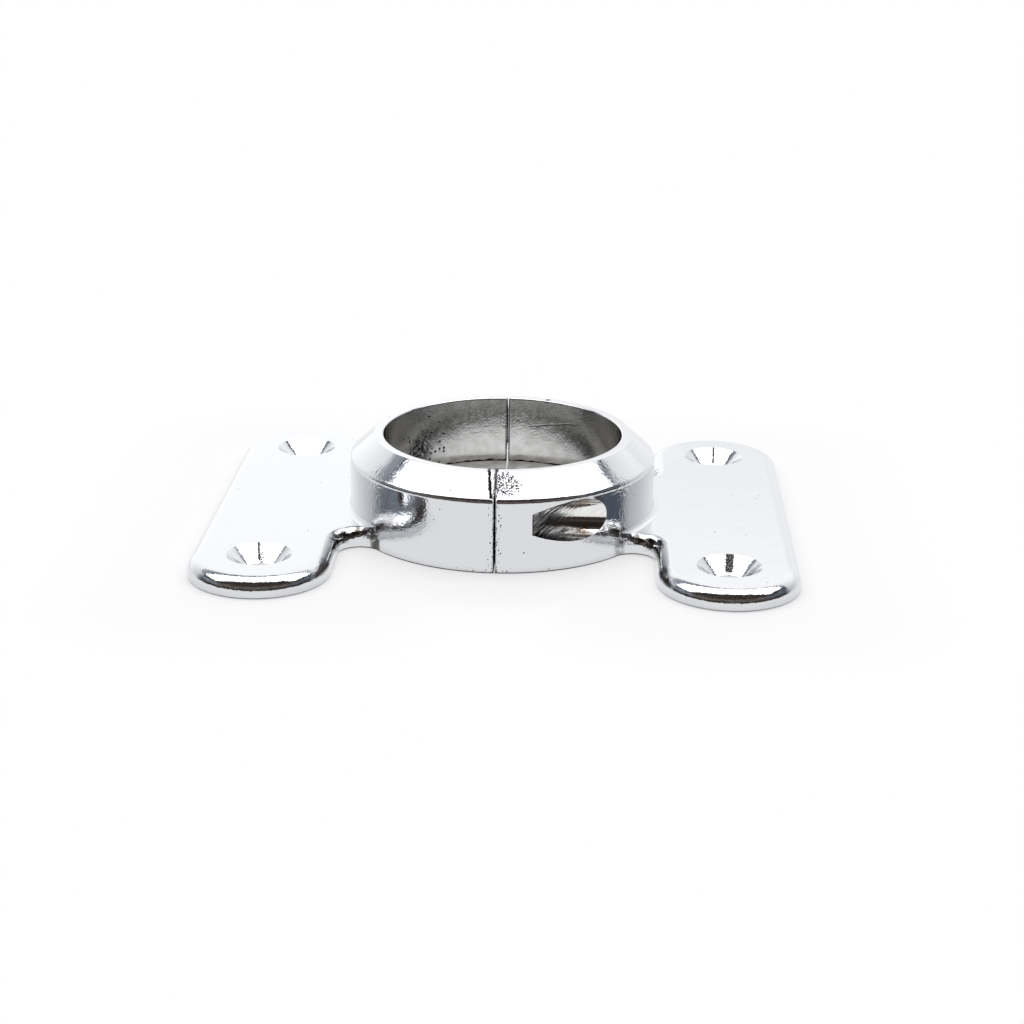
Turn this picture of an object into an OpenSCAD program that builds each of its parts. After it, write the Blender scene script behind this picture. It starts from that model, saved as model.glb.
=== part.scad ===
// Split pipe anchor: two equal cast halves clamp round a tube and screw down on a surface.
// The base lies on z = 0, the tube stands on the Z axis and the seam is the plane x = 0.

/* [Tube ring] */
// Radius of the bore that holds the tube
bore_r = 25; // [22:0.5:27]
// Thickness of the ring wall
ring_wall = 7.1; // [6.5:0.1:8]
// Height of the ring above the base
ring_h = 19.8; // [18.6:0.2:26]
// Width of the flat lip round the bore
lip_w = 1.9; // [1:0.1:3]
// Height of the sloping bevel under the lip
bevel_h = 4.6; // [2:0.1:5]
// Rounding where the bevel meets the wall
bevel_round = 1.5; // [0.6:0.1:2]
// Rounding of both edges of the lip
lip_round = 0.4; // [0.2:0.05:0.45]
// Height of the ledge that stops the tube
stop_z = 5.2; // [2:0.1:8]
// Width of the ledge, inwards from the bore
stop_w = 5; // [2:0.5:8]

/* [Plates] */
// Thickness of the plates
plate_t = 4.2; // [3.6:0.1:4.4]
// Width of a plate, which is also the diameter of its round ends
plate_w = 28.5; // [24:0.5:32]
// Rounding of the upper edge of the plates
plate_round = 3; // [1.5:0.1:3.1]
// Rounding of the lower edge, all round the base
base_round = 0.4; // [0.1:0.05:0.4]
// Rounding of the upper edge of the webs, where it climbs to the ring
web_round = 2.3; // [1.5:0.1:3]
// Radius of the inside corners between the plates and the ring, seen from above
corner_r = 4.4; // [3.8:0.1:6]
// Radius of the cove at the foot of the ring
cove_r = 1.4; // [0.6:0.1:1.5]

/* [Screw holes] */
// Distance between the holes of the left and the right plate
hole_pitch_x = 93; // [91:0.5:97]
// Distance between the two holes of one plate
hole_pitch_y = 70; // [62:0.5:90]
// Diameter of the screw holes
hole_d = 6.4; // [5:0.1:7]
// Diameter of the countersinks at the top of the plates
countersink_d = 13; // [11:0.1:13.4]

/* [Clamp screws] */
// Thread diameter of the clamp screws
screw_d = 3; // [2.5:0.1:3.4]
// Length of the clamp screws, head included
screw_l = 16; // [12:0.5:18]
// Diameter of the flat screw heads
screw_head_d = 6; // [5:0.1:6.4]
// Width across the flats of the sockets in the heads
socket_w = 2; // [1.5:0.1:2.5]
// Depth of the sockets in the heads
socket_depth = 1.2; // [0.8:0.1:1.6]
// Height of the screw axes above the base
screw_z = 10.2; // [9.9:0.1:10.6]
// Distance from the bore to the screw axes, at the seam
screw_inset = 2.5; // [2.4:0.1:3.2]
// Diameter of the pockets that let the screws in
pocket_d = 8.6; // [7.6:0.1:9]
// Distance from the seam plane to the floor of the pockets
pocket_floor = 7.5; // [6.5:0.1:9]
// Wall that the pockets leave towards the bore
pocket_skin = 0.6; // [0.4:0.1:1]

/* [Seam] */
// Gap between the two halves
seam_gap = 0.3; // [0.2:0.1:1]
// Width of the broken edges along the seam
seam_break = 0.3; // [0.1:0.05:0.5]

/* [Hidden] */
$fn = 128;

// Steps in each rounded corner of an outline, and along the upper edge of an inside corner
round_steps = 10;
edge_steps = 27;
// How far cutters reach past the faces they open
lap = 1;
// Overlap that makes blended faces cross cleanly where they meet
blend = 0.02;
// Clearance round a screw in its thread, in its passing hole and under its tip
thread_fit = 0.05;
pass_fit = 0.2;
tip_fit = 1;
// Break of the lower end of a screw
tip_break = 0.4;

chrome = [0.86, 0.87, 0.89];
dark_steel = [0.3, 0.3, 0.32];

ring_r = bore_r + ring_wall;
mid_wall_r = bore_r + ring_wall / 2;
plate_x = hole_pitch_x / 2;
plate_r = plate_w / 2;
screw_y = bore_r + screw_inset;
thread_depth = screw_l - pocket_floor + tip_fit;

// Centre of an inside corner: the arc runs into the plate's side and into the ring
corner_x = plate_x - plate_r - corner_r + blend;
corner_y = sqrt(pow(ring_r + corner_r - blend, 2) - pow(corner_x, 2));
// Directions from that centre in which the rounding of the upper edge begins, starts to climb, has the web's
// radius, and ends: just before the ring, where the web would run out in a sliver
edge_from = -5;
climb_from = 40;
web_full = 90;
edge_to = atan2(corner_y, -corner_x) - 9;
// Where the web ends beside the ring
web_x = corner_x + corner_r * cos(edge_to);
// Inside and top of the cutters of the inside corners
core_r = corner_r - lap;
cut_top = plate_t + cove_r + lap;

function unit(v) = v / norm(v);

function arc(centre, r, from, to) =
    [for (i = [0 : round_steps])
        let (a = from + (to - from) * i / round_steps)
        centre + r * [cos(a), sin(a)]];

// Turn from one direction to another the short way round
function short_turn(a) = a > 180 ? a - 360 : a < -180 ? a + 360 : a;

// Points that round the corner p between its neighbours a and b
function corner(p, a, b, r) =
    let (
        u = unit(a - p),
        v = unit(b - p),
        half = acos(u * v) / 2,
        centre = p + unit(u + v) * r / sin(half),
        first = p + u * r / tan(half) - centre,
        last = p + v * r / tan(half) - centre,
        from = atan2(first.y, first.x),
        turn = short_turn(atan2(last.y, last.x) - from)
    )
    arc(centre, r, from, from + turn);

// An outline with its corners rounded, each by its own radius
function rounded(points, radii) =
    let (n = len(points))
    [for (i = [0 : n - 1])
        each radii[i] > 0
            ? corner(points[i], points[(i + n - 1) % n], points[(i + 1) % n], radii[i])
            : [points[i]]];

// Section of the ring, from the foot of the ledge round to its top
ring_section = [
    [bore_r - stop_w, 0],
    [ring_r, 0],
    [ring_r, ring_h - bevel_h],
    [bore_r + lip_w, ring_h],
    [bore_r, ring_h],
    [bore_r, stop_z],
    [bore_r - stop_w, stop_z]
];
ring_rounds = [0, base_round, bevel_round, lip_round, lip_round, 0, lip_round];

module half_ring() {
    rotate([0, 0, -90])
        rotate_extrude(angle = 180)
            polygon(rounded(ring_section, ring_rounds));
}

// A plate with round ends and a rounded upper edge
module plate() {
    width = [[-plate_r, 0], [plate_r, 0], [plate_r, plate_t], [-plate_r, plate_t]];
    half_width = [[0, 0], [plate_r, 0], [plate_r, plate_t], [0, plate_t]];
    translate([plate_x, 0, 0]) {
        translate([0, hole_pitch_y / 2, 0])
            rotate([90, 0, 0])
                linear_extrude(hole_pitch_y)
                    polygon(rounded(width, [base_round, base_round, plate_round, plate_round]));
        for (turn = [0, 180])
            rotate([0, 0, turn])
                translate([0, hole_pitch_y / 2, 0])
                    rotate_extrude(angle = 180)
                        polygon(rounded(half_width, [0, base_round, plate_round, 0]));
    }
}

// Height of a web's upper face at a distance from the tube's axis: the plate, the cove, and past it the ring
function web_top(rho) =
    rho > ring_r + cove_r ? plate_t
    : rho > ring_r ? plate_t + cove_r - sqrt(pow(cove_r, 2) - pow(ring_r + cove_r - rho, 2))
    : ring_h;

// Slow start and slow end on the way from 0 to 1
function ease(t) = t * t * (3 - 2 * t);

// Rounding of an inside corner's upper edge, in a direction from the corner's centre
function edge_round(way) =
    let (share = (way - climb_from) / (web_full - climb_from))
    plate_round + (web_round - plate_round) * ease(max(0, min(1, share)));

// Section of what that edge loses: an arc from the corner's wall, raised until it touches the upper face
function edge_section(way) =
    let (
        r = edge_round(way),
        rises = [for (turn = [90 : -1 : 0])
            let (rho = norm([corner_x, -corner_y] + (corner_r + r - r * cos(turn)) * [cos(way), sin(way)]))
            [web_top(rho) - r * sin(turn), turn]],
        low = min([for (rise = rises) rise[0]]),
        touch = [for (rise = rises) if (rise[0] == low) rise[1]][0],
        outline = arc([corner_r + r - blend, low + blend], r, 180, 180 - touch)
    )
    concat([[core_r, low]], outline, [[outline[round_steps].x, cut_top], [core_r, cut_top]]);

// A skin over sections that stand round the Z axis, each in its own direction
module fan(ways, sections) {
    m = len(sections[0]);
    n = len(sections);
    points = [for (i = [0 : n - 1]) for (p = sections[i])
        [p.x * cos(ways[i]), p.x * sin(ways[i]), p.y]];
    start = [for (j = [m - 1 : -1 : 0]) j];
    end = [for (j = [0 : m - 1]) (n - 1) * m + j];
    sides = [for (i = [0 : n - 2]) for (j = [0 : m - 1])
        let (a = i * m + j, b = i * m + (j + 1) % m)
        each [[a, b, a + m], [b, b + m, a + m]]];
    polyhedron(points, concat([start, end], sides));
}

// What an inside corner takes away: a post with a flared foot
module corner_post() {
    foot_r = corner_r + base_round;
    foot = arc([foot_r, base_round], base_round, 270, 180);
    rotate_extrude()
        polygon(concat([[0, -lap], [foot_r, -lap]], foot, [[corner_r, cut_top + lap], [0, cut_top + lap]]));
}

// And the rounding of its upper edge, which climbs to the ring
module corner_edge() {
    ways = [for (i = [0 : edge_steps]) edge_from + (edge_to - edge_from) * i / edge_steps];
    fan(ways, [for (way = ways) edge_section(way)]);
}

// Both inside corners of a web: the front one, and its mirror image at the back
module at_corners() {
    for (side = [0, 1])
        mirror([0, side, 0])
            translate([corner_x, -corner_y, 0])
                children();
}

// The cove that runs round the foot of the ring
module cove() {
    side = cove_r - blend;
    hollow = arc([ring_r + side, plate_t + side], cove_r, 180, 270);
    rotate_extrude()
        polygon(concat([[mid_wall_r, plate_t + side]], hollow,
                       [[ring_r + side, plate_t - lap], [mid_wall_r, plate_t - lap]]));
}

// The web that joins a plate to the ring, with the cove on top
module web() {
    difference() {
        difference() {
            intersection() {
                union() {
                    translate([0, -corner_y, 0])
                        cube([plate_x, 2 * corner_y, plate_t]);
                    cove();
                }
                translate([web_x, -corner_y, 0])
                    cube([plate_x - web_x, 2 * corner_y, ring_h]);
            }
            translate([0, 0, -lap])
                cylinder(h = ring_h, r = mid_wall_r);
            at_corners()
                corner_post();
        }
        at_corners()
            corner_edge();
    }
}

module countersunk_hole() {
    hole_r = hole_d / 2;
    cone_h = countersink_d / 2 - hole_r;
    translate([0, 0, -lap])
        cylinder(h = plate_t + lap, r = hole_r);
    translate([0, 0, plate_t - cone_h])
        cylinder(h = cone_h + lap, r1 = hole_r, r2 = hole_r + cone_h + lap);
}

// Pocket, countersink and passing hole of one clamp screw, along +X from the seam
module screw_passage() {
    head_r = screw_head_d / 2 + pass_fit;
    hole_r = screw_d / 2 + pass_fit;
    cone_h = head_r - hole_r;
    translate([0, -screw_y, screw_z])
        rotate([0, 90, 0]) {
            translate([0, 0, -lap])
                cylinder(h = pocket_floor + lap, r = hole_r);
            translate([0, 0, pocket_floor - cone_h])
                cylinder(h = cone_h, r1 = hole_r, r2 = head_r);
        }
    difference() {
        translate([pocket_floor, -screw_y, screw_z])
            rotate([0, 90, 0])
                cylinder(h = ring_r, r = pocket_d / 2);
        cylinder(h = ring_h, r = bore_r + pocket_skin);
    }
}

// Threaded hole for the other half's clamp screw
module threaded_hole() {
    translate([-lap, screw_y, screw_z])
        rotate([0, 90, 0])
            cylinder(h = thread_depth + lap, r = screw_d / 2 + thread_fit);
}

// Cutter that breaks the edge from a to b, two points of the ring section at the seam
module broken_edge(a, b) {
    along = b - a;
    translate([seam_gap / 2, a.x, a.y])
        rotate([-atan2(along.x, along.y), 0, 0])
            cylinder(h = norm(along), r = seam_break, $fn = 4);
}

module seam_cut() {
    translate([-seam_gap / 2, -2 * ring_r, -lap])
        cube([seam_gap, 4 * ring_r, ring_h + 2 * lap]);
    for (side = [0, 1])
        mirror([0, side, 0])
            for (i = [1 : 4])
                broken_edge(ring_section[i], ring_section[i + 1]);
}

// One casting, on the +X side of the seam
module half_casting() {
    difference() {
        union() {
            half_ring();
            plate();
            web();
        }
        seam_cut();
        screw_passage();
        threaded_hole();
        for (side = [-1, 1])
            translate([plate_x, side * hole_pitch_y / 2, 0])
                countersunk_hole();
    }
}

// A flat-head screw along +Z, its head's face at z = 0
module clamp_screw() {
    head_r = screw_head_d / 2;
    thread_r = screw_d / 2;
    head_h = head_r - thread_r;
    outline = [
        [0, -screw_l],
        [thread_r - tip_break, -screw_l],
        [thread_r, -screw_l + tip_break],
        [thread_r, -head_h],
        [head_r, 0],
        [0, 0]
    ];
    difference() {
        rotate_extrude()
            polygon(outline);
        translate([0, 0, -socket_depth])
            cylinder(h = socket_depth + lap, d = socket_w / cos(30), $fn = 6);
    }
}

module right_half() {
    color(chrome)
        half_casting();
}

module left_half() {
    color(chrome)
        rotate([0, 0, 180])
            half_casting();
}

module clamp_screws() {
    color(dark_steel)
        for (turn = [0, 180])
            rotate([0, 0, turn])
                translate([pocket_floor, -screw_y, screw_z])
                    rotate([0, 90, 0])
                        clamp_screw();
}

left_half();
right_half();
clamp_screws();
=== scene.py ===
# %% [markdown]
# # A chrome split pipe anchor
# Two equal zinc castings close round the foot of a tube and screw down on a floor or worktop. The shapes
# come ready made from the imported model, so this lesson is about finish: mirror plating, a rough cast
# bore, drilled screw pockets, and above all the studio, because a mirror shows little but the room it
# stands in.

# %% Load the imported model
import math

import bmesh
import bpy
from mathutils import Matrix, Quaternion, Vector


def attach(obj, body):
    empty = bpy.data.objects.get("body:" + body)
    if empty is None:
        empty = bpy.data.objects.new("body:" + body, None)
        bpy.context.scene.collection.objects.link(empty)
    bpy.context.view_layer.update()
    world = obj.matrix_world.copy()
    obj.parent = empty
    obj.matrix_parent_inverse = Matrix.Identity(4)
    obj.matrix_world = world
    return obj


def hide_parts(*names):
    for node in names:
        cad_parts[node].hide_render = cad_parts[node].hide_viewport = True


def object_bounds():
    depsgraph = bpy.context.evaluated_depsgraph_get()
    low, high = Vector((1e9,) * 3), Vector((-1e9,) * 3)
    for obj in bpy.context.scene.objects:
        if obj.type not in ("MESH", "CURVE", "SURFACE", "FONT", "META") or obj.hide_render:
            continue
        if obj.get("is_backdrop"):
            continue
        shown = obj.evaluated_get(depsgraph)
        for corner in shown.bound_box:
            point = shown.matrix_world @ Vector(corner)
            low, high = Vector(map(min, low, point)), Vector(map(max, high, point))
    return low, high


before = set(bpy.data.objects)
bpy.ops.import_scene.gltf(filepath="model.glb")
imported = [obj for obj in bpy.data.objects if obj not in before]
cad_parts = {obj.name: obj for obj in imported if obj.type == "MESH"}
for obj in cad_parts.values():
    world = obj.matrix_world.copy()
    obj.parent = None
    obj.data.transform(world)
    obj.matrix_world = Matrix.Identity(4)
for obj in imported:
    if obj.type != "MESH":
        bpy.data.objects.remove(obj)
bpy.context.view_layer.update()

MM = 0.001
scene = bpy.context.scene
scene.view_settings.view_transform = "Standard"

# %% [markdown]
# ## The camera
# The picture was taken from a little above and in front of the anchor, with a long lens. Such a view
# could be set by eye, but a fit of the plate holes and the rims gives it to a pixel: the place of the
# eye, the point in the middle of the picture and a small roll. A camera that is aimed with to_track_quat
# stands upright, so the roll is one more turn about its own axis.

# %% Camera
EYE = Vector((19.31, -425.80, 152.28)) * MM
AIM = Vector((1.96, 5.28, 0.0)) * MM
ROLL = math.radians(0.638)
LENS_MM = 74.475
SENSOR_MM = 36.0

camera_data = bpy.data.cameras.new("photo_camera")
camera_data.lens = LENS_MM
camera_data.sensor_width = SENSOR_MM
camera = bpy.data.objects.new("photo_camera", camera_data)
scene.collection.objects.link(camera)
camera.location = EYE
camera.rotation_mode = "QUATERNION"
camera.rotation_quaternion = (AIM - EYE).to_track_quat("-Z", "Y") @ Quaternion((0, 0, 1), ROLL)
scene.camera = camera
print("camera", round((AIM - EYE).length / MM), "mm from the anchor")

# %% [markdown]
# ## Helpers for nodes
# Every material below is a small graph. It could be wired by hand, node by node, but that hides the idea
# behind the wiring. The first helper makes one node, sets its properties, and fills its inputs: a plain
# value is written on the socket, and an output of another node is linked to it. The others are the few
# nodes that come back again and again. A mask runs over a range: a pair says where it starts and ends,
# and a range of four adds the values at both ends.


# %% One node and its inputs
def node(tree, kind, inputs=(), **settings):
    made = tree.nodes.new(kind)
    for name, value in settings.items():
        setattr(made, name, value)
    for name, value in dict(inputs).items():
        socket = made.inputs[name]
        if isinstance(value, bpy.types.NodeSocket):
            tree.links.new(value, socket)
        else:
            socket.default_value = value
    return made


def maths(tree, operation, *values):
    return node(tree, "ShaderNodeMath", dict(enumerate(values)), operation=operation).outputs["Value"]


def vector_maths(tree, operation, *values):
    return node(tree, "ShaderNodeVectorMath", dict(enumerate(values)), operation=operation).outputs


def vector(tree, operation, *values):
    return vector_maths(tree, operation, *values)["Vector"]


def distance(tree, place, other):
    return vector_maths(tree, "DISTANCE", place, other)["Value"]


def scaled(tree, value, amount):
    inputs = {0: value, "Scale": amount}
    return node(tree, "ShaderNodeVectorMath", inputs, operation="SCALE").outputs["Vector"]


def xyz(tree, place):
    return node(tree, "ShaderNodeSeparateXYZ", {0: place}).outputs[:3]


print("helpers for one node are ready")

# %% Masks and mixes
MIX_SHARE, MIX_FIRST, MIX_SECOND, MIX_RESULT = 0, 6, 7, 2


def between(tree, value, low, high, to_low=0.0, to_high=1.0):
    return node(tree, "ShaderNodeMapRange", {
        "Value": value, "From Min": low, "From Max": high, "To Min": to_low, "To Max": to_high,
    }, interpolation_type="SMOOTHSTEP").outputs["Result"]


def falls(tree, value, low, high):
    return between(tree, value, low, high, 1.0, 0.0)


def times(tree, first, *others):
    for other in others:
        first = maths(tree, "MULTIPLY", first, other)
    return first


def most(tree, first, *others):
    for other in others:
        first = maths(tree, "MAXIMUM", first, other)
    return first


def add(tree, *terms):
    total = 0.0
    for value, amount in terms:
        total = maths(tree, "MULTIPLY_ADD", value, amount, total)
    return total


def mix(tree, share, first, second):
    first, second = [(*colour, 1.0) if isinstance(colour, tuple) else colour for colour in (first, second)]
    inputs = {MIX_SHARE: share, MIX_FIRST: first, MIX_SECOND: second}
    return node(tree, "ShaderNodeMix", inputs, data_type="RGBA").outputs[MIX_RESULT]


def ramp(tree, factor, stops):
    made = node(tree, "ShaderNodeValToRGB", {"Fac": factor})
    elements = made.color_ramp.elements
    while len(elements) < len(stops):
        elements.new(0.5)
    for element, (place, colour) in zip(elements, stops):
        element.position = place
        element.color = (*colour, 1.0)
    return made.outputs["Color"]


print("helpers for masks are ready")

# %% [markdown]
# ## The room
# Plated metal has no colour of its own to show, so the dark lines and white fields on it are the studio.
# That could be built from walls and lamps, but a world shader says it with less: it reads the direction
# of a ray, and each field on the metal answers to one number. The share of a direction that points
# backwards, away from the camera, decides most of it.

# %% Directions in the room
FLAT = (1, 1, 0)

world = bpy.data.worlds.new("studio_room")
world.use_nodes = True
scene.world = world
room = world.node_tree
room.nodes.clear()

direction = node(room, "ShaderNodeTexCoord").outputs["Generated"]
aside, back, up = xyz(room, direction)
level = vector(room, "NORMALIZE", vector(room, "MULTIPLY", direction, FLAT))
backwards = xyz(room, level)[1]


def as_share(value):
    return maths(room, "MULTIPLY_ADD", value, 0.5, 0.5)


print("room:", len(room.nodes), "nodes for directions")

# %% [markdown]
# ### The unlit side
# In front of the anchor is the unlit room: brown ahead and dark blue at the sides, with lighter shelves
# at eye level and a dim window on the far left. One flat grey would do for a plain ball, but here the
# rounded edges show it as black bands with light specks in them. Noise on the direction makes that
# clutter.

# %% Unlit side
ROOM_BROWN = (0.045, 0.037, 0.033)
ROOM_BLUE = (0.09, 0.11, 0.135)
ROOM_SHELVES = (0.115, 0.098, 0.088)
ROOM_WINDOW = (0.19, 0.21, 0.24)
SHELF_FOOT = (0.14, 0.28)
SHELF_TOP = (0.43, 0.55)
CLUTTER_SCALE, CLUTTER_DETAIL = 28.0, 4.0
CLUTTER_LIGHT = (0.43, 0.68, 0.3, 2.6)

unlit = ramp(room, as_share(backwards), [(0.50, ROOM_BROWN), (0.68, ROOM_BLUE)])
shelves = ramp(room, as_share(aside), [
    (0.04, ROOM_WINDOW), (0.12, ROOM_SHELVES), (0.85, ROOM_SHELVES), (0.97, ROOM_BLUE),
])
eye_level = times(room, between(room, up, *SHELF_FOOT), falls(room, up, *SHELF_TOP))
unlit = mix(room, eye_level, unlit, shelves)
clutter = node(room, "ShaderNodeTexNoise", {
    "Vector": direction, "Scale": CLUTTER_SCALE, "Detail": CLUTTER_DETAIL,
}).outputs["Fac"]
unlit = scaled(room, unlit, between(room, clutter, *CLUTTER_LIGHT))
print("room:", len(room.nodes), "nodes with the unlit side")

# %% [markdown]
# ### The paper
# Behind the anchor stands white paper, brightest straight behind and fading to both sides. On the left it
# ends below the softbox, and a grey gap shows. Low on the right it lies a little in shade. A ramp over
# the backward share draws the fading, and two masks draw the gap and the shade.

# %% Paper
PAPER = [
    (0.12, (0.06, 0.065, 0.075)),
    (0.20, (0.20, 0.22, 0.24)),
    (0.25, (0.32, 0.33, 0.35)),
    (0.34, (0.57, 0.58, 0.59)),
    (0.57, (0.75, 0.75, 0.76)),
    (0.77, (0.93, 0.93, 0.93)),
    (0.87, (1.00, 1.00, 1.00)),
]
PAPER_TOP, PAPER_TILT, PAPER_EDGE = 0.82, 0.4, 0.01
GAP_GREY = (0.28, 0.30, 0.33)
SHADE_LEFT = (-0.10, 0.04)
SHADE_TOP = (0.29, 0.38, 0.17, 0.0)

paper = ramp(room, backwards, PAPER)
tilted = maths(room, "MULTIPLY_ADD", aside, -PAPER_TILT, up)
over_top = between(room, tilted, PAPER_TOP - PAPER_EDGE, PAPER_TOP + PAPER_EDGE)
paper = mix(room, over_top, paper, GAP_GREY)
low_right = times(room, between(room, aside, *SHADE_LEFT), between(room, up, *SHADE_TOP))
paper = mix(room, low_right, paper, ROOM_BLUE)
print("room:", len(room.nodes), "nodes with the paper")

# %% [markdown]
# ### The whole room
# The paper begins behind the softbox, along a line that is turned a little, and all before it is unlit.
# Mirrors and light see this room. The camera itself sees plain white, by Is Camera Ray, with a strength
# of 1.

# %% Room
BEHIND_SOFTBOX = 0.60
BEHIND_TURN = 0.06
BEHIND_EDGE = (-0.02, 0.01)
ROOM_STRENGTH = 1.3
WHITE = (1, 1, 1, 1)

behind = maths(room, "MULTIPLY_ADD", up, -BEHIND_SOFTBOX, back)
lit = between(room, maths(room, "MULTIPLY_ADD", aside, -BEHIND_TURN, behind), *BEHIND_EDGE)
room_colour = mix(room, lit, unlit, paper)
room_light = node(room, "ShaderNodeBackground", {"Color": room_colour, "Strength": ROOM_STRENGTH})
white = node(room, "ShaderNodeBackground", {"Color": WHITE, "Strength": 1.0})
seen = node(room, "ShaderNodeLightPath").outputs["Is Camera Ray"]
mixed = node(room, "ShaderNodeMixShader", {0: seen, 1: room_light.outputs[0], 2: white.outputs[0]})
node(room, "ShaderNodeOutputWorld", {"Surface": mixed.outputs[0]})
print("room:", len(room.nodes), "nodes in all")

# %% [markdown]
# ## The softbox
# One wide softbox hangs over the anchor, turned by a degree or two. It lights the floor, and its mirror
# image is the white field on the bevel and on the rounded plate edges. It could be one more mask in the
# room, but an area lamp gives less noise on the floor. Its radiance is its power over its area and pi.
# Its edges, as slopes seen from the anchor, are where the white fields end on the metal.

# %% Softbox
BOX_HEIGHT = 0.9
BOX_LEFT, BOX_RIGHT = -1.45 * BOX_HEIGHT, 1.25 * BOX_HEIGHT
BOX_FRONT, BOX_BACK = -0.42 * BOX_HEIGHT, 0.425 * BOX_HEIGHT
BOX_TURN = math.radians(1.5)
BOX_RADIANCE = 2.4

lamp = bpy.data.lights.new("softbox", "AREA")
lamp.shape = "RECTANGLE"
lamp.size = BOX_RIGHT - BOX_LEFT
lamp.size_y = BOX_BACK - BOX_FRONT
lamp.energy = BOX_RADIANCE * math.pi * lamp.size * lamp.size_y
softbox = bpy.data.objects.new("softbox", lamp)
softbox.location = ((BOX_LEFT + BOX_RIGHT) / 2, (BOX_FRONT + BOX_BACK) / 2, BOX_HEIGHT)
softbox.rotation_euler = (0.0, 0.0, BOX_TURN)
softbox.visible_camera = False
scene.collection.objects.link(softbox)
print("softbox", round(lamp.energy, 1), "W")

# %% [markdown]
# ## The floor
# The anchor lies on white paper. A large round sheet is enough, because its edge lies far outside the
# picture.

# %% Floor sheet
FLOOR_R = 3.0
FLOOR_SIDES = 96

bm = bmesh.new()
bmesh.ops.create_circle(bm, cap_ends=True, radius=FLOOR_R, segments=FLOOR_SIDES)
floor_mesh = bpy.data.meshes.new("paper_floor")
bm.to_mesh(floor_mesh)
bm.free()
floor = bpy.data.objects.new("paper_floor", floor_mesh)
scene.collection.objects.link(floor)
floor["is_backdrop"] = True
print("floor", FLOOR_R, "m")

# %% [markdown]
# ### The floor's paper
# Close to the anchor the paper is matt and takes a soft shadow, which white light of its own makes paler.
# One to three centimetres further out it runs into pure white of strength 1, so that no edge or falloff
# shows. Mirrors and glass see that white from the anchor's own outline on. More lamps would whiten the
# paper too, but they would also burn out the metal. How far a point lies outside the anchor is the
# smaller of two distances, one from the ring and one from the nearer plate.

# %% Floor paper
FADE_SEEN = (10.0, 32.0)
SHADOW_GLOW = 0.55
FADE_MIRRORED = (-4.0, 4.0)
FLOOR_PAPER = (0.83, 0.835, 0.85, 1)
CENTRE = (0, 0, 0)
RING_R = 32.1
PLATE_MIDDLE = (46.5, 0.0, 0.0)
PLATE_HALF = (14.25, 49.25, 0.0)

paper_material = bpy.data.materials.new("floor_paper")
paper_material.use_nodes = True
tree = paper_material.node_tree
tree.nodes.clear()
place = node(tree, "ShaderNodeTexCoord").outputs["Object"]
plan = vector(tree, "ABSOLUTE", vector(tree, "MULTIPLY", place, (1 / MM, 1 / MM, 0)))
off_ring = maths(tree, "SUBTRACT", distance(tree, plan, CENTRE), RING_R)
off_middle = vector(tree, "ABSOLUTE", vector(tree, "SUBTRACT", plan, PLATE_MIDDLE))
past_plate = vector(tree, "MAXIMUM", vector(tree, "SUBTRACT", off_middle, PLATE_HALF), CENTRE)
outside = maths(tree, "MINIMUM", off_ring, distance(tree, past_plate, CENTRE))
rays = node(tree, "ShaderNodeLightPath").outputs
mirrored = most(tree, rays["Is Glossy Ray"], rays["Is Transmission Ray"])
share = most(
    tree,
    times(tree, between(tree, outside, *FADE_SEEN, SHADOW_GLOW, 1.0), rays["Is Camera Ray"]),
    times(tree, between(tree, outside, *FADE_MIRRORED), mirrored),
)
matt = node(tree, "ShaderNodeBsdfDiffuse", {"Color": FLOOR_PAPER})
glow = node(tree, "ShaderNodeEmission", {"Color": WHITE, "Strength": 1.0})
surface = node(tree, "ShaderNodeMixShader", {0: share, 1: matt.outputs[0], 2: glow.outputs[0]})
node(tree, "ShaderNodeOutputMaterial", {"Surface": surface.outputs[0]})
floor_mesh.materials.append(paper_material)
print("floor paper:", len(tree.nodes), "nodes")

# %% [markdown]
# ## Helpers for metal
# All finishes of the anchor are bare or plated metal, so they share their frame: the place of a point in
# millimetres, patterns drawn from that place, and one metal shader. Image textures would need a flat map
# of each casting, and these patterns need none. Grains are listed as size, detail and height, with
# heights in millimetres too. The Bevel node bends the light a little round every edge, because no edge
# on a casting is a perfect line.

# %% Metal patterns
SPECK_CORE = 0.5


def metal_material(name):
    made = bpy.data.materials.new(name)
    made.use_nodes = True
    tree = made.node_tree
    tree.nodes.clear()
    place = node(tree, "ShaderNodeTexCoord").outputs["Object"]
    return made, tree, scaled(tree, place, 1 / MM)


def noise(tree, place, size, detail=2.0):
    inputs = {"Vector": place, "Scale": 1 / size, "Detail": detail}
    return node(tree, "ShaderNodeTexNoise", inputs).outputs["Fac"]


def grains(tree, place, sizes):
    return [(noise(tree, place, size, detail), amount) for size, detail, amount in sizes]


def near(tree, place, centre, core, reach):
    return falls(tree, distance(tree, place, centre), core, reach)


def off_level(tree, value, level):
    return maths(tree, "ABSOLUTE", maths(tree, "SUBTRACT", value, level))


def specks(tree, place, cell, radius, chance):
    cells = node(tree, "ShaderNodeTexVoronoi", {"Vector": place, "Scale": 1 / cell})
    dot = falls(tree, cells.outputs["Distance"], SPECK_CORE * radius / cell, radius / cell)
    lot = node(tree, "ShaderNodeSeparateColor", {0: cells.outputs["Color"]}).outputs["Red"]
    return times(tree, dot, maths(tree, "LESS_THAN", lot, chance))


print("helpers for patterns are ready")

# %% Metal shader
EDGE_SOFT = 0.12
EDGE_SAMPLES = 4


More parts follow.
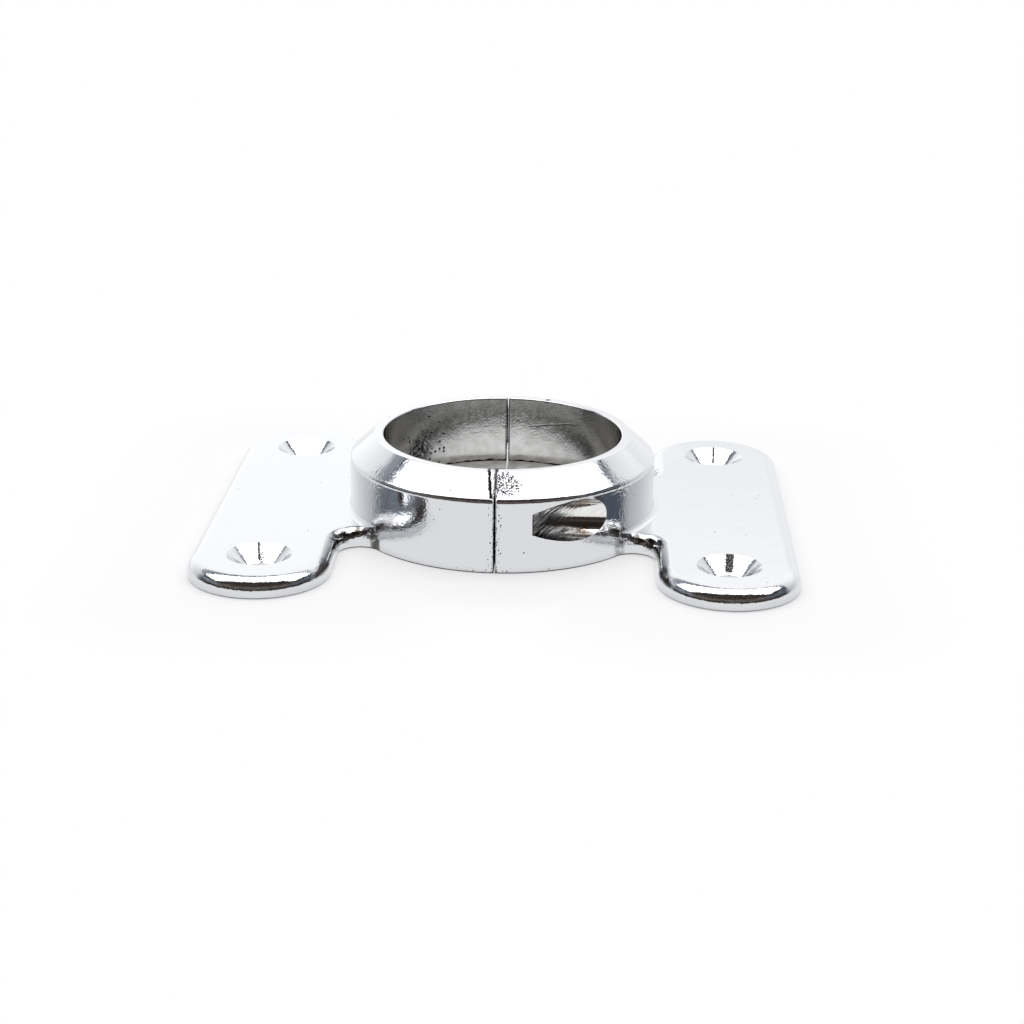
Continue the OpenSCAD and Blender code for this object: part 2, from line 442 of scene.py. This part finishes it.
def metal(made, colour, roughness, height, metallic=1.0):
    tree = made.node_tree
    soft = node(tree, "ShaderNodeBevel", {"Radius": EDGE_SOFT * MM}, samples=EDGE_SAMPLES)
    bump = node(tree, "ShaderNodeBump", {
        "Height": height, "Strength": 1.0, "Distance": MM, "Normal": soft.outputs[0],
    })
    shader = node(tree, "ShaderNodeBsdfPrincipled", {
        "Base Color": colour, "Metallic": metallic, "Roughness": roughness, "Specular IOR Level": 0.0,
        "Normal": bump.outputs[0],
    })
    node(tree, "ShaderNodeOutputMaterial", {"Surface": shader.outputs[0]})
    print(made.name, "has", len(tree.nodes), "nodes")


print("edges are softened by", EDGE_SOFT, "mm")

# %% [markdown]
# ## Bright plating
# The castings are polished and chrome plated. Such plating is a mirror with faults, and most of them lie
# at the front seam. One spot on its right is pitted all over, and pinholes break the plating beside it
# and at the base. All of them are thinner than a tenth of a millimetre, so they are drawn as masks and
# not cut in the mesh. Dots in random cells give clean specks, where a threshold of noise would give
# curls.

# %% Pits and pinholes
FRONT = (-25.0, -24.0)
PITTED_SPOT = (2.0, -29.0, 18.0)
PITTED_REACH = (1.5, 3.6)
RIGHT_OF_SEAM = (0.1, 0.3)
COARSE_PIT, FINE_PIT, PINHOLE = (0.46, 0.27), (0.29, 0.16), (0.42, 0.20)
SEAM_CHANCE = (0.3, 1.5, 0.45, 0.0)
BASE_CHANCE = (0.4, 1.4, 0.5, 0.0)
BASE_REACH = (2.0, 8.0)
STRAY_CHANCE = 0.0015

chrome, tree, place = metal_material("bright_chrome")
x, y, z = xyz(tree, place)
abs_x = maths(tree, "ABSOLUTE", x)
front = falls(tree, y, *FRONT)
pitted = times(tree, near(tree, place, PITTED_SPOT, *PITTED_REACH), between(tree, x, *RIGHT_OF_SEAM))
pits = most(tree, specks(tree, place, *COARSE_PIT, pitted), specks(tree, place, *FINE_PIT, pitted))
beside_seam = times(tree, between(tree, abs_x, *SEAM_CHANCE), front)
at_base = times(tree, between(tree, z, *BASE_CHANCE), falls(tree, abs_x, *BASE_REACH), front)
chance = maths(tree, "ADD", most(tree, beside_seam, at_base), STRAY_CHANCE)
pinholes = specks(tree, place, *PINHOLE, chance)
print("pits and pinholes:", len(tree.nodes), "nodes")

# %% [markdown]
# ### Dark lines
# A crooked line of painted dark reflection, as a rounded seam edge shows, runs down the bevel on the left
# of the front seam. Painted shade darkens the edges of the seam, and a line of painted contact shade
# follows the foot of the casting. Each is a distance from a line with slow noise added, because a drawn
# line that wanders looks like a crack, and a straight one like a pen stroke.

# %% Lines at the seam and the foot
WANDER_SIZE, WANDER = 0.7, 0.9
LINE_FOOT, LINE_X, LINE_LEAN = 15.8, -0.74, -0.17
LINE_WIDTH = (0.26, 0.42)
LINE_START = (15.4, 15.8)
LEFT_OF_SEAM = (-0.1, 0.0)
SEAM_SHADE_WANDER, SEAM_SHADE_WIDTH = 0.35, (0.16, 0.24)
SEAM_SHADE_ON_BEVEL = (15.0, 16.0, 1.0, 0.4)
FOOT_WANDER, FOOT_HEIGHT = 0.15, (0.22, 0.42)
FOOT_ON_PLATES = (31.0, 33.0, 0.95, 0.6)

wander = maths(tree, "MULTIPLY_ADD", noise(tree, place, WANDER_SIZE), WANDER, -WANDER / 2)
off_line = add(tree, (x, -1.0), (z, LINE_LEAN), (wander, 1.0))
off_line = maths(tree, "ABSOLUTE", maths(tree, "ADD", off_line, LINE_X - LINE_LEAN * LINE_FOOT))
# Painted dark reflection: a crooked line left of the front seam, as a rounded seam edge shows.
crooked = times(tree, falls(tree, off_line, *LINE_WIDTH), between(tree, z, *LINE_START), front)
crooked = times(tree, crooked, falls(tree, x, *LEFT_OF_SEAM))
# Painted shade on the edges of the front seam.
seam_edge = maths(tree, "MULTIPLY_ADD", wander, SEAM_SHADE_WANDER, abs_x)
seam_shade = times(tree, falls(tree, seam_edge, *SEAM_SHADE_WIDTH), between(tree, z, *SEAM_SHADE_ON_BEVEL), front)
# Painted contact shade: a dark line along the foot of the casting.
foot_edge = maths(tree, "MULTIPLY_ADD", wander, FOOT_WANDER, z)
foot = times(tree, falls(tree, foot_edge, *FOOT_HEIGHT), between(tree, abs_x, *FOOT_ON_PLATES))
print("with dark lines:", len(tree.nodes), "nodes")

# %% [markdown]
# ### Marks in the countersinks
# Three of the four countersinks have a dark mark up the back of the cone, thin in two and broad in one. A
# mark is a strip that points away from the middle of its hole: how far along it a point lies, and how far
# beside it, are two dot products. The rim of the bore also has one nick.

# %% Marks
MARKED_COUNTERSINKS = [
    ((-46.5, -35.0), (-0.166, 0.986), 0.16),
    ((46.5, -35.0), (0.069, 0.998), 0.70),
    ((46.5, 35.0), (0.059, 0.998), 0.14),
]
MARK_START, MARK_END = (3.4, 3.8), (6.4, 6.6)
MARK_WANDER, MARK_EDGE = 0.6, 0.12
MOTTLE_SIZE, MOTTLE = 0.16, (0.36, 0.50, 0.6, 1.0)
RIM_NICK = (8.9, 24.2, 19.6)
NICK_PLATED = (0.3, 0.8)


def mark(hole, away, half):
    offset = vector(tree, "SUBTRACT", place, (*hole, 0.0))
    along = vector_maths(tree, "DOT_PRODUCT", offset, (*away, 0.0))["Value"]
    beside = vector_maths(tree, "DOT_PRODUCT", offset, (-away[1], away[0], 0.0))["Value"]
    ragged = maths(tree, "MULTIPLY_ADD", wander, MARK_WANDER, maths(tree, "ABSOLUTE", beside))
    on_cone = times(tree, between(tree, along, *MARK_START), falls(tree, along, *MARK_END))
    mottled = between(tree, noise(tree, place, MOTTLE_SIZE), *MOTTLE)
    return times(tree, falls(tree, ragged, half, half + MARK_EDGE), on_cone, mottled)


marks = [mark(*countersink) for countersink in MARKED_COUNTERSINKS]
nick = near(tree, place, RIM_NICK, *NICK_PLATED)
# Real pits, pinholes, marks and the nick, together with the painted shade and reflection lines.
faults_and_shade = most(tree, pits, pinholes, crooked, seam_shade, foot, nick, *marks)
print(len(marks), "marks:", len(tree.nodes), "nodes")

# %% [markdown]
# ### Inside corners
# No polishing wheel reaches the inside corners between plate, web and ring, so the skin of the casting is
# rough there. Painted shade darkens the inside corners, and patches of painted dark reflection lie on the
# rounded edge of the web. A part of the ring's wall and the plate corners beside the webs are only grainy.
# The four corners are alike, so the place is folded on itself by taking the absolute value, and one point
# stands for all four.

# %% Corners
INSIDE_CORNER = (25.2, 20.7, 0.0)
CORNER_REACH, CORNER_TOP = (0.9, 1.8), (3.2, 4.4)
CORNER_PATCH, CORNER_PATCHES = 0.8, (0.3, 0.5)
CORNER_RIGHT = (-1.0, 1.0, 1.0, 0.5)
CORNER_CENTRE = (27.9, 23.5, 0.0)
WEB_REACH, WEB_FOOT, WEB_TOP = (5.6, 6.6), (1.9, 2.4), (3.9, 4.3)
OFF_RING_WALL = (24.6, 25.4)
WEB_PATCH, WEB_PATCHES = 1.1, (0.46, 0.56, 0.0, 0.85)
WEB, UNPOLISHED_REACH = (28.0, 20.5, 0.0), (2.5, 6.5)
GRAINY_WALL, WALL_REACH = (-25.0, -20.0, 9.0), (4.0, 9.0)
PLATE_CORNER, PLATE_REACH = (35.5, 38.0, 0.0), (2.0, 8.0)

plan = vector(tree, "MULTIPLY", vector(tree, "ABSOLUTE", place), FLAT)
# Painted shade in the inside corners.
corner = times(tree, near(tree, plan, INSIDE_CORNER, *CORNER_REACH), falls(tree, z, *CORNER_TOP))
corner = times(tree, corner, between(tree, noise(tree, place, CORNER_PATCH), *CORNER_PATCHES))
corner = times(tree, corner, between(tree, x, *CORNER_RIGHT))
# Painted dark reflection in patches on the rounded edge of the web.
web_edge = times(tree, near(tree, plan, CORNER_CENTRE, *WEB_REACH), falls(tree, z, *WEB_TOP))
web_edge = times(tree, web_edge, between(tree, z, *WEB_FOOT), between(tree, abs_x, *OFF_RING_WALL))
web_edge_reflection = times(tree, web_edge, between(tree, noise(tree, place, WEB_PATCH), *WEB_PATCHES))
unpolished = near(tree, plan, WEB, *UNPOLISHED_REACH)
grainy_wall = near(tree, place, GRAINY_WALL, *WALL_REACH)
grainy = most(tree, grainy_wall, near(tree, plan, PLATE_CORNER, *PLATE_REACH))
print("with corners:", len(tree.nodes), "nodes")

# %% [markdown]
# ### Chrome as a whole
# The masks come together in colour, roughness and height. The polish itself is a little wavy, so the
# height also has noise of three sizes: one flat value would give a mirror of glass, not of metal that was
# ground by hand.

# %% Chrome
CHROME = (0.69, 0.70, 0.72)
CORNER_SHADE = (0.13, 0.13, 0.12)
WEB_EDGE_REFLECTION = (0.08, 0.065, 0.055)
PIT_AND_SHADE_BLACK = (0.014, 0.013, 0.012)
HAZE_SIZE, HAZE = 2.5, (0.3, 0.7, 0.04, 0.07)
CORNER_SHADE_ROUGH, FAULT_AND_SHADE_ROUGH = 0.35, 0.5
WAVES = [(5.0, 2.0, 0.03), (1.5, 2.0, 0.010), (0.45, 2.0, 0.02)]
UNPOLISHED_SIZE, UNPOLISHED_HEIGHT = 0.9, 0.06
GRAIN_SIZE, GRAIN_HEIGHT = 0.28, 0.03
FAULT_AND_SHADE_DEPTH = 0.03

# Painted shade in the inside corners and painted dark reflection on the web edge.
colour = mix(tree, corner, CHROME, CORNER_SHADE)
colour = mix(tree, web_edge_reflection, colour, WEB_EDGE_REFLECTION)
# Black for the pits and for the painted shade and reflection lines.
colour = mix(tree, faults_and_shade, colour, PIT_AND_SHADE_BLACK)
haze = between(tree, noise(tree, place, HAZE_SIZE), *HAZE)
roughness = most(tree, haze, times(tree, corner, CORNER_SHADE_ROUGH), times(tree, faults_and_shade, FAULT_AND_SHADE_ROUGH))
height = add(
    tree,
    *grains(tree, place, WAVES),
    (times(tree, unpolished, noise(tree, place, UNPOLISHED_SIZE)), UNPOLISHED_HEIGHT),
    (faults_and_shade, -FAULT_AND_SHADE_DEPTH),
    (times(tree, grainy, noise(tree, place, GRAIN_SIZE)), GRAIN_HEIGHT),
)
metal(chrome, colour, roughness, height)

# %% [markdown]
# ## Rough bore
# The inside of the ring is as it came out of the mould, with only a thin flash of plating: grainy and warm
# grey, with painted shade that darkens both sides. On the left the mould has left black pores and a stain,
# a scratch runs level round the right side, and painted shade darkens the upper part of the back seam and
# the foot of the wall along the ledge. Pores are dots in cells again, and the stain is soft noise inside a
# round mask, because a stain has no clear edge.

# %% Faults of the bore
PORES, PORE_REACH, PORE = (-18.5, 16.5, 10.5), (0.0, 8.5), (1.0, 0.34)
STAIN, STAIN_REACH = (-18.8, 16.5, 9.4), (1.0, 5.0)
STAIN_PATCH, STAIN_PATCHES = (0.9, 3.0), (0.36, 0.54)
SCRATCH_FROM, SCRATCH_TO, SCRATCH_Z, SCRATCH_CLIMB = 4.0, 16.5, 13.1, 0.2
SCRATCH_WANDER, SCRATCH_WIDTH = (2.0, 0.4), (0.05, 0.22)
SCRATCH_STARTS, SCRATCH_ENDS = 1.5, 4.0
BACK_HALF = (0.0, 1.0)

bore, tree, place = metal_material("cast_bore")
x, y, z = xyz(tree, place)
abs_x = maths(tree, "ABSOLUTE", x)
pores = specks(tree, place, *PORE, near(tree, place, PORES, *PORE_REACH))
stain = between(tree, noise(tree, place, *STAIN_PATCH), *STAIN_PATCHES)
stain = times(tree, near(tree, place, STAIN, *STAIN_REACH), stain)
scratch_z = maths(tree, "MULTIPLY_ADD", x, SCRATCH_CLIMB, SCRATCH_Z - SCRATCH_CLIMB * SCRATCH_FROM)
scratch_z = add(tree, (scratch_z, 1.0), (noise(tree, place, SCRATCH_WANDER[0]), SCRATCH_WANDER[1]))
scratch = times(
    tree,
    falls(tree, off_level(tree, z, scratch_z), *SCRATCH_WIDTH),
    between(tree, y, *BACK_HALF),
    between(tree, x, SCRATCH_FROM, SCRATCH_FROM + SCRATCH_STARTS),
    falls(tree, x, SCRATCH_TO - SCRATCH_ENDS, SCRATCH_TO),
)
print("pores, stain and scratch:", len(tree.nodes), "nodes")

# %% Bore
BORE_LIGHT = (0.74, 0.735, 0.715)
BORE_DARK = (0.62, 0.615, 0.59)
BORE_SIDE_SHADE = (0.38, 0.385, 0.40)
BORE_SIDES = (11.0, 22.0, 0.0, 0.6)
NICK_BARE = (0.3, 1.0)
BACK_SEAM_SHADE, BACK_SEAM_SHADE_FOOT = (0.28, 0.5), (8.0, 10.0)
LEDGE_Z = 5.2
LEDGE_SHADE_SIZE, LEDGE_SHADE, LEDGE_SHADE_LOW = 1.5, 0.9, 0.15
STAIN_SHARE, SCRATCH_SHARE = 0.85, 0.7
BLOTCH = (0.35, 0.65)
BORE_BLOTCH = (1.6, 4.0)
BORE_HAZE_SIZE, BORE_HAZE = 0.8, (0.3, 0.7, 0.10, 0.17)
BORE_GRAINS = [(0.45, 3.0, 0.02), (2.5, 2.0, 0.03)]
BORE_FAULT_AND_SHADE_DEPTH = 0.05

nick = near(tree, place, RIM_NICK, *NICK_BARE)
# Painted shade in the upper part of the back seam.
seam_shade = times(tree, falls(tree, abs_x, *BACK_SEAM_SHADE), between(tree, z, *BACK_SEAM_SHADE_FOOT))
# Painted shade in the corner at the foot of the wall, along the ledge.
ledge_noise = noise(tree, place, LEDGE_SHADE_SIZE)
ledge_edge = maths(tree, "MULTIPLY_ADD", ledge_noise, LEDGE_SHADE, LEDGE_Z - LEDGE_SHADE_LOW)
ledge_shade = maths(tree, "LESS_THAN", z, ledge_edge)
faults_and_shade = most(tree, pores, times(tree, stain, STAIN_SHARE), times(tree, scratch, SCRATCH_SHARE))
faults_and_shade = most(tree, faults_and_shade, nick, seam_shade, ledge_shade)
blotches = between(tree, noise(tree, place, *BORE_BLOTCH), *BLOTCH)
colour = mix(tree, blotches, BORE_DARK, BORE_LIGHT)
# Painted shade on both sides of the bore.
colour = mix(tree, between(tree, abs_x, *BORE_SIDES), colour, BORE_SIDE_SHADE)
colour = mix(tree, faults_and_shade, colour, PIT_AND_SHADE_BLACK)
roughness = between(tree, noise(tree, place, BORE_HAZE_SIZE), *BORE_HAZE)
height = add(tree, *grains(tree, place, BORE_GRAINS), (faults_and_shade, -BORE_FAULT_AND_SHADE_DEPTH))
metal(bore, colour, roughness, height)

# %% [markdown]
# ## Drilled pockets
# The pocket of each clamp screw was drilled through the finished wall, so it shows bare zinc with the
# marks of the tool: streaks that climb along the pocket. Cut grooves would need thousands of faces, and
# noise that is stretched in one direction draws the same streaks. Turning the place first lays that
# direction along the marks. Towards the mouth the wall is smooth. Towards the deep end the streaks are
# dark, partly tool marks and partly painted shade of the pocket's depth. A black band of painted
# reflection runs along its middle, widened below by a second painted band, with a spot of tarnish under
# it.

# %% Tool marks
STREAK_CLIMB = math.radians(37)
STREAK_LONG, STREAK_WIDE = 4.0, 0.25
STREAK_DETAIL = 3.0
RAGGED = 6.0
POCKET_RISE = 0.8
ROUGH_ZONE = (4.3, 8.3, 1.0, 0.12)
STREAKS = (0.44, 0.55, 0.15, 1.0)

pocket, tree, place = metal_material("drilled_pocket")
x, _, z = xyz(tree, place)
abs_x = maths(tree, "ABSOLUTE", x)
turned = node(tree, "ShaderNodeMapping", {"Vector": place, "Rotation": (0, STREAK_CLIMB, 0)})
stretch = (1 / STREAK_LONG, 1 / STREAK_LONG, 1 / STREAK_WIDE)
stretched = vector(tree, "MULTIPLY", turned.outputs["Vector"], stretch)
streaks = noise(tree, stretched, 1.0, STREAK_DETAIL)
ragged = maths(tree, "MULTIPLY_ADD", streaks, RAGGED, -RAGGED / 2)
deep = add(tree, (abs_x, 1.0), (ragged, 1.0), (z, -POCKET_RISE))
rough = between(tree, deep, *ROUGH_ZONE)
print("tool marks:", len(tree.nodes), "nodes")

# %% Pockets
ZINC_LIGHT = (0.85, 0.845, 0.84)
ZINC_DARK = (0.07, 0.07, 0.072)
TARNISH = (0.36, 0.22, 0.09)
TARNISHED, TARNISH_REACH = (17.5, -24.4, 7.3), (0.5, 2.0)
TARNISH_PATCH, TARNISH_PATCHES = 0.4, (0.44, 0.56)
BAND_Z, BAND = 9.2, (0.5, 1.4, 0.9, 0.0)
LOW_BAND_Z, LOW_BAND = 8.5, (0.6, 1.2, 0.75, 0.0)
STREAK_ROUGH, POCKET_HAZE = 0.10, [(0.6, 2.0, 0.12)]
STREAK_HEIGHT, POCKET_GRAINS = 0.10, [(0.4, 2.0, 0.006)]

# Painted dark reflection: a black band along the middle of the pocket.
band = between(tree, off_level(tree, z, BAND_Z), *BAND)
# A second painted dark reflection band, just below the first.
low_reflection_band = between(tree, off_level(tree, z, LOW_BAND_Z), *LOW_BAND)
# Dark streaks at the deep end: tool marks, partly painted shade of the pocket's depth.
dark = times(tree, rough, most(tree, band, between(tree, streaks, *STREAKS)))
dark = most(tree, dark, low_reflection_band)
tarnish = between(tree, noise(tree, place, TARNISH_PATCH), *TARNISH_PATCHES)
tarnish = times(tree, near(tree, place, TARNISHED, *TARNISH_REACH), tarnish)
colour = mix(tree, tarnish, mix(tree, dark, ZINC_LIGHT, ZINC_DARK), TARNISH)
roughness = add(tree, (rough, STREAK_ROUGH), *grains(tree, place, POCKET_HAZE))
height = add(tree, (times(tree, streaks, rough), STREAK_HEIGHT), *grains(tree, place, POCKET_GRAINS))
metal(pocket, colour, roughness, height)

# %% [markdown]
# ## Raw casting
# The underside, the ledge in the ring and the seam faces hardly show, so nobody polished them: matt grey
# zinc with the grain of the mould. Painted shade fills the seam, at the front below the bevel and at the
# back above the ledge, and the wall of the opening under the ledge; where the seam is not shaded its faces
# are rubbed bright. The painted shade is a black sheet, so there the shader is not metallic. One material
# with masks does all this, where a material for each face would leave hard joins.

# %% Painted shade in the seam and the opening
SEAM_HALF, SEAM_SLACK = 0.15, 0.01
SEAM_SHADE_TOP, SEAM_SHADE_FADE = 15.6, 0.5
SEAM_SHADE_FOOT, SEAM_SHADE_RISE = 9.0, 1.0
OPENING_R, OPENING_SLACK = 20.0, 0.1
OPENING_SHADE = (4.6, 5.1, 0.75, 0.0)

raw, tree, place = metal_material("raw_casting")
x, y, z = xyz(tree, place)
in_seam = maths(tree, "LESS_THAN", maths(tree, "ABSOLUTE", x), SEAM_HALF + SEAM_SLACK)
front = maths(tree, "LESS_THAN", y, 0.0)
rear = maths(tree, "SUBTRACT", 1.0, front)
# Painted shade in the seam gap: at the front below the bevel, at the back above the ledge.
low = times(tree, front, falls(tree, z, SEAM_SHADE_TOP, SEAM_SHADE_TOP + SEAM_SHADE_FADE))
high = times(tree, rear, between(tree, z, SEAM_SHADE_FOOT - SEAM_SHADE_RISE, SEAM_SHADE_FOOT))
seam_and_opening_shade = times(tree, in_seam, most(tree, low, high))
from_tube = distance(tree, vector(tree, "MULTIPLY", place, FLAT), CENTRE)
in_opening = maths(tree, "LESS_THAN", from_tube, OPENING_R + OPENING_SLACK)
# Painted shade on the wall of the opening under the ledge.
seam_and_opening_shade = most(tree, seam_and_opening_shade, times(tree, in_opening, between(tree, z, *OPENING_SHADE)))
print("dirt:", len(tree.nodes), "nodes")

# %% Raw faces
RAW_LIGHT = (0.72, 0.715, 0.70)
RAW_DARK = (0.54, 0.535, 0.52)
RAW_BLOTCH = (3.0, 4.0)
RAW_GRAIN_SIZE, RAW_GRAIN = 1.0, (0.3, 0.7, 0.78, 0.92)
RUBBED = (0.0, 1.0, 1.0, 0.15)
RAW_GRAINS = [(0.5, 3.0, 0.03), (4.0, 2.0, 0.04)]

blotches = between(tree, noise(tree, place, *RAW_BLOTCH), *BLOTCH)
# The painted shade is near black, rough and not metallic.
colour = mix(tree, seam_and_opening_shade, mix(tree, blotches, RAW_DARK, RAW_LIGHT), PIT_AND_SHADE_BLACK)
unshaded = maths(tree, "SUBTRACT", 1.0, seam_and_opening_shade)
rubbed = times(tree, in_seam, unshaded)
grain = between(tree, noise(tree, place, RAW_GRAIN_SIZE), *RAW_GRAIN)
roughness = most(tree, times(tree, grain, between(tree, rubbed, *RUBBED)), seam_and_opening_shade)
height = add(tree, *grains(tree, place, RAW_GRAINS))
metal(raw, colour, roughness, height, unshaded)

# %% [markdown]
# ## Dark screws
# The clamp screws are blackened steel. Their heads were turned on a lathe, which leaves fine rings round
# the axis. A wave texture could draw rings, but only round the origin, so the distance from the screw's
# own axis goes through a sine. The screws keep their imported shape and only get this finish.

# %% Screws
SCREW_Y, SCREW_Z = 27.5, 10.2
ACROSS_SCREW = (0, 1, 1)
RING_PITCH, RING_HEIGHT = 0.3, 0.004
STEEL_LIGHT = (0.34, 0.34, 0.36)
STEEL_DARK = (0.22, 0.22, 0.235)
STEEL_BLOTCH = (0.7, 3.0)
STEEL_HAZE_SIZE, STEEL_HAZE = 0.4, (0.3, 0.7, 0.28, 0.42)
STEEL_GRAINS = [(0.3, 2.0, 0.01)]

steel, tree, place = metal_material("blackened_steel")
section = vector(tree, "MULTIPLY", vector(tree, "ABSOLUTE", place), ACROSS_SCREW)
from_axis = distance(tree, section, (0, SCREW_Y, SCREW_Z))
rings = maths(tree, "SINE", times(tree, from_axis, 2 * math.pi / RING_PITCH))
blotches = between(tree, noise(tree, place, *STEEL_BLOTCH), *BLOTCH)
roughness = between(tree, noise(tree, place, STEEL_HAZE_SIZE), *STEEL_HAZE)
height = add(tree, (rings, RING_HEIGHT), *grains(tree, place, STEEL_GRAINS))
metal(steel, mix(tree, blotches, STEEL_DARK, STEEL_LIGHT), roughness, height)
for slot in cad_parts["clamp_screws"].material_slots:
    slot.material = steel

# %% [markdown]
# ## The castings
# Each casting has four finishes, and a face takes the one that belongs to where it lies: flat on the base
# or in the seam, on the ledge, in the bore, in a pocket, or anywhere else. The faces could be picked by
# hand, but a rule on their place still holds when the model is packed again.

# %% Finish of a face
TOUCH = 0.05
FACING = 0.9
BORE_R = 25.0
LEDGE_INSET = 0.2
POCKET_R = 4.3
FINISHES = [chrome, bore, pocket, raw]


def finish_of(face):
    middle = face.calc_center_median() / MM
    from_tube = middle.xy.length
    from_screw = math.hypot(abs(middle.y) - SCREW_Y, middle.z - SCREW_Z)
    if middle.z < TOUCH and face.normal.z < -FACING:
        return raw
    if abs(middle.x) < SEAM_HALF + TOUCH and abs(face.normal.x) > FACING:
        return raw
    if from_tube < BORE_R - LEDGE_INSET and middle.z < LEDGE_Z + TOUCH:
        return raw
    if from_tube < BORE_R + TOUCH:
        return bore
    if from_screw < POCKET_R + TOUCH and from_tube < RING_R - TOUCH:
        return pocket
    return chrome


print("finishes:", [finish.name for finish in FINISHES])

# %% [markdown]
# ### Two dressed halves
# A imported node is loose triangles, which would shade as flat chips. So each casting is a copy whose
# double points are merged. Its curved faces then shade smoothly, edges sharper than a set angle stay
# crisp, and weighted normals keep the flat plates flat.

# %% Castings
MERGE = 0.002 * MM
CRISP = math.radians(18)
LARGE_FACES_FIRST = 100


def casting(name):
    bm = bmesh.new()
    bm.from_mesh(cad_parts[name].data)
    bmesh.ops.remove_doubles(bm, verts=bm.verts, dist=MERGE)
    bmesh.ops.dissolve_degenerate(bm, edges=bm.edges, dist=MERGE)
    for face in bm.faces:
        face.smooth = True
        face.material_index = FINISHES.index(finish_of(face))
    for edge in bm.edges:
        edge.smooth = edge.calc_face_angle(math.pi) < CRISP
    mesh = bpy.data.meshes.new(name + "_plated")
    bm.to_mesh(mesh)
    bm.free()
    for finish in FINISHES:
        mesh.materials.append(finish)
    piece = bpy.data.objects.new(name + "_plated", mesh)
    scene.collection.objects.link(piece)
    weighted = piece.modifiers.new("flat_stays_flat", "WEIGHTED_NORMAL")
    weighted.keep_sharp = True
    weighted.weight = LARGE_FACES_FIRST
    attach(piece, "root")
    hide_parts(name)
    return piece


halves = [casting(name) for name in ("left_half", "right_half")]
for half in halves:
    counts = [0] * len(FINISHES)
    for polygon in half.data.polygons:
        counts[polygon.material_index] += 1
    print(half.name, {finish.name: count for finish, count in zip(FINISHES, counts)})

# %% [markdown]
# ## Hand over
# The size of the dressed part is printed, so that it can be held against the model.

# %% Sizes
low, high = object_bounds()
print("visual size in mm:", [round(v / MM, 2) for v in high - low])
